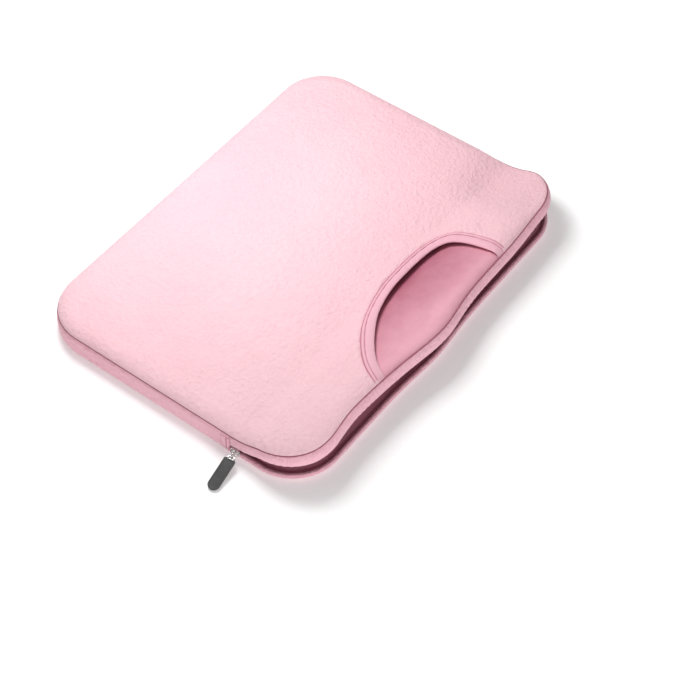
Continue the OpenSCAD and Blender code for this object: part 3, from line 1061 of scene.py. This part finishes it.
for word, inset, over, radius in (("outer", -0.15, -0.35, 0.42), ("inner", 2.6, 0.05, 0.3)):
    line = moon_line(inset, BINDING_STATIONS)
    line = flap_at_rest(np.column_stack([line, panel_height(line) + over]))
    thread = new_object(f"binding_{word}_thread", tube(line, radius, 8))
    on_flap(thread, binding_thread, "binding_fabric")

# ---- zip ends and slider


def wall_reach(heights):
    """How far out from the middle the side wall stands at each height."""
    count = 25
    out, z, _ = wall_section(gusset_low[2], SEAM_Z, WALL_BULGE, WALL_TUCK, WALL_FOOT, count)
    return HALF_W + np.interp(heights, z[:count], out[:count])


def end_patch(side):
    """The patch over the end of the zip: it follows the wall, with a raised fold at the mouth's side."""
    heights = np.linspace(patch_low[2], patch_high[2], 14)
    wall = wall_reach(heights)
    rings = []
    ys = np.concatenate([np.linspace(patch_low[1] - 0.3, patch_low[1] + 1.8, 8),
                         np.linspace(patch_low[1] + 2.6, patch_high[1] - 0.8, 8),
                         np.linspace(patch_high[1] - 0.5, patch_high[1], 3)])
    for y in ys:
        ends = min((y - ys[0]) / 0.5, (ys[-1] - y) / 0.8, 1.0)
        fold_over = 0.95 * math.exp(-((y - patch_low[1] - 0.7) / 0.7) ** 2) - 0.25 * math.exp(
            -((y - patch_low[1] - 2.3) / 0.5) ** 2)
        thick = (0.45 + fold_over) * math.sqrt(max(ends, 0.05))
        taper = np.minimum(1, np.minimum(heights - heights[0] + 0.15, heights[-1] - heights + 0.15) / 0.7)
        outer = wall + thick * np.sqrt(taper)
        inner = wall - 0.3
        ring_out = np.concatenate([outer, inner[::-1]])
        ring_z = np.concatenate([heights, heights[::-1]])
        rings.append(np.column_stack([side * ring_out, np.full(len(ring_z), y), ring_z]))
    return loft(rings)


def patch_valley_shade(side):
    """The dark line where a patch is folded under, beside its raised fold: painted shade of the valley there.
    """
    heights = np.linspace(patch_low[2] + 0.2, patch_high[2] - 0.2, 14)
    reach = wall_reach(heights) + 0.3
    line = np.column_stack([side * reach, np.full(len(heights), patch_low[1] + 2.5), heights])
    turns = circle(8)
    ring = np.column_stack([np.cos(turns), np.sin(turns), np.zeros(len(turns))]) * 0.32
    return loft(line[:, None] + ring[None])


def patch_stitches(side):
    """A box of stitches just inside the edge of a patch."""
    y0, y1 = patch_low[1] + 2.2, patch_high[1] - 1.1
    z0, z1 = patch_low[2] + 1.3, patch_high[2] - 1.3
    corners_yz = [(y0, z0), (y1, z0), (y1, z1), (y0, z1), (y0, z0)]
    shapes = []
    for (ya, za), (yb, zb) in zip(corners_yz, corners_yz[1:]):
        ys = np.linspace(ya, yb, 12)
        zs = np.linspace(za, zb, 12)
        line = np.column_stack([side * (wall_reach(zs) + 0.42), ys, zs])
        outward = np.tile([side, 0.0, 0.0], (12, 1))
        shapes.append(stitches(line, outward, length=1.5, gap=0.5, radius=0.2))
    return merged(shapes)


for side, word in ((-1, "left"), (1, "right")):
    patch = new_object(f"{word}_patch_cloth", end_patch(side))
    on_sleeve(patch, band_fabric, "band_fabric", f"{word}_zip_end_patch")
    on_sleeve(new_object(f"{word}_patch_stitches", patch_stitches(side)), stitch_thread, "band_fabric")
    # A dark tube in the valley beside the fold: painted shade.
    on_sleeve(new_object(f"{word}_patch_fold_shade_line", patch_valley_shade(side)), binding_thread, "band_fabric")


def softened(name, node, radius):
    """A copy of a hard CAD node with its edges rounded over."""
    source = frame["nodes"][node].data
    work = bmesh.new()
    work.from_mesh(source)
    bmesh.ops.remove_doubles(work, verts=work.verts, dist=1e-6)
    bmesh.ops.dissolve_limit(work, angle_limit=math.radians(1), verts=work.verts, edges=work.edges)
    mesh = bpy.data.meshes.new(name)
    work.to_mesh(mesh)
    work.free()
    obj = placed(name, smooth_shaded(mesh))
    bevel = obj.modifiers.new("bevel", "BEVEL")
    bevel.width = radius * MM
    bevel.segments = 3
    bevel.limit_method = "ANGLE"
    bevel.angle_limit = math.radians(35)
    bevel.harden_normals = False
    obj.modifiers.new("normals", "WEIGHTED_NORMAL")
    return baked(obj)


for name, node, body, radius in (
        ("slider_casting", "slider_body", "slider", 0.28), ("slider_arch", "slider_crown", "slider", 0.22),
        ("zip_stop_clamps", "zip_stops", "sleeve", 0.3), ("clip_frame", "tab_clip", "tab", 0.25)):
    on_body(softened(name, node, radius), body, zip_metal, "zip_metal", node)

upward = np.array([0, 0, 1.0])
rearward = np.array([0, 1.0, 0])
ring_joint = joint("ring_turn")
tab_joint = joint("tab_swing")
ring_pivot = np.array(ring_joint["pos_m"]) / MM
ring_centre = np.array(tab_joint["pos_m"]) / MM
pull_side = np.array(tab_joint["axis"])
pull_out = (ring_centre - ring_pivot) / np.linalg.norm(ring_centre - ring_pivot)
RING_R = float(np.linalg.norm(ring_centre - ring_pivot))
RING_WIRE_R = 0.5
sections = circle(12)
ring_rings = [ring_centre + (RING_R + RING_WIRE_R * np.cos(sections))[:, None]
              * (math.cos(a) * pull_out + math.sin(a) * upward)
              + RING_WIRE_R * np.sin(sections)[:, None] * pull_side for a in circle(48)]
on_body(new_object("pull_ring_wire", loft(ring_rings, True)), "ring", zip_metal, "zip_metal", "pull_ring")

# ---- pull tab

TAB_DROOP = math.radians(11.5)
TAB_YAW = math.radians(3.5)
TAB_START = 3.3
TAB_REACH = 30.3
TAB_HALF_W = 4.75
TAB_HEAD_R = 1.2
tab_out = pull_out * math.cos(TAB_YAW) + rearward * math.sin(TAB_YAW)
tab_across = np.cross(tab_out, upward)
tab_along = tab_out * math.cos(TAB_DROOP) - upward * math.sin(TAB_DROOP)
tab_over = tab_out * math.sin(TAB_DROOP) + upward * math.cos(TAB_DROOP)


def tab_outline(inset):
    """The tab's outline: two small head corners and one round tip."""
    tip_r = TAB_HALF_W - inset
    head_r = max(TAB_HEAD_R - inset, 0.15)
    head_u = TAB_START + inset + head_r
    tip_u = TAB_REACH - TAB_HALF_W
    side_v = tip_r - head_r
    rows = []
    for a in np.linspace(math.pi, 1.5 * math.pi, 7):
        rows.append((head_u + head_r * math.cos(a), -side_v + head_r * math.sin(a)))
    rows += [(u, -tip_r) for u in np.linspace(head_u + 1.0, tip_u - 1.0, 8)]
    for a in np.linspace(-math.pi / 2, math.pi / 2, 25):
        rows.append((tip_u + tip_r * math.cos(a), tip_r * math.sin(a)))
    rows += [(u, tip_r) for u in np.linspace(tip_u - 1.0, head_u + 1.0, 8)]
    for a in np.linspace(math.pi / 2, math.pi, 7):
        rows.append((head_u + head_r * math.cos(a), side_v + head_r * math.sin(a)))
    return np.array(rows)


# Inset and height of each level from the middle of the edge to the sunken face
TAB_LEVELS = [(0.0, 0.35), (0.02, 0.62), (0.14, 0.88), (0.4, 1.06), (0.8, 1.1), (1.05, 1.04), (1.2, 0.9),
              (1.35, 0.8), (1.7, 0.78)]
levels = [(inset, -rise) for inset, rise in reversed(TAB_LEVELS)] + TAB_LEVELS
tab_rings = []
for inset, over in levels:
    shape = tab_outline(inset)
    tab_rings.append(ring_centre + shape[:, :1] * tab_along + shape[:, 1:] * tab_across + over * tab_over)
on_body(new_object("pull_tab_rubber", loft(tab_rings)), "tab", tab_rubber, "tab_rubber", "pull_tab")

# ---- floor, lights and camera

FLOOR_HALF = 6.0
floor_mesh = bpy.data.meshes.new("floor")
floor_corners = [(FLOOR_HALF * x, FLOOR_HALF * y, 0) for x, y in ((-1, -1), (1, -1), (1, 1), (-1, 1))]
floor_mesh.from_pydata(floor_corners, [], [(0, 1, 2, 3)])
floor_mesh.materials.append(floor_finish())
floor = placed("floor", floor_mesh)

WORLD_LIGHT = 0.28
world = bpy.data.worlds.new("studio")
world.use_nodes = True
sky = world.node_tree.nodes["Background"].inputs
sky["Color"].default_value = (1.0, 1.0, 1.0, 1)
sky["Strength"].default_value = WORLD_LIGHT
scene.world = world
scene.view_settings.view_transform = "Standard"


def soft_light(name, place, size, power):
    """A large square light that faces the sleeve."""
    data = bpy.data.lights.new(name, "AREA")
    data.size = size
    data.energy = power
    light = placed(name, data)
    light.location = place
    light.rotation_mode = "QUATERNION"
    light.rotation_quaternion = Vector(place).to_track_quat("Z", "Y")
    light.visible_camera = False


soft_light("key", place=(0.015, 0.17, 0.45), size=0.24, power=2.42)
soft_light("front_fill", place=(-0.68, -1.02, 0.18), size=0.7, power=7.0)

CAMERA_AZIMUTH = math.radians(-53.565)
CAMERA_ELEVATION = math.radians(51.675)
CAMERA_ROLL = math.radians(0.414)
CAMERA_AIM = Vector((-0.0546, -0.0806, 0.015))
CAMERA_AWAY = 1.304
CAMERA_LENS = 89.92
back = Vector((math.sin(CAMERA_AZIMUTH) * math.cos(CAMERA_ELEVATION),
               -math.cos(CAMERA_AZIMUTH) * math.cos(CAMERA_ELEVATION),
               math.sin(CAMERA_ELEVATION)))
camera_data = bpy.data.cameras.new("camera")
camera_data.sensor_width = 36.0
camera_data.lens = CAMERA_LENS
camera_data.clip_start = 0.05
camera = placed("camera", camera_data)
camera.location = CAMERA_AIM + back * CAMERA_AWAY
camera.rotation_mode = "QUATERNION"
camera.rotation_quaternion = back.to_track_quat("Z", "Y") @ Quaternion((0, 0, 1), CAMERA_ROLL)
scene.camera = camera
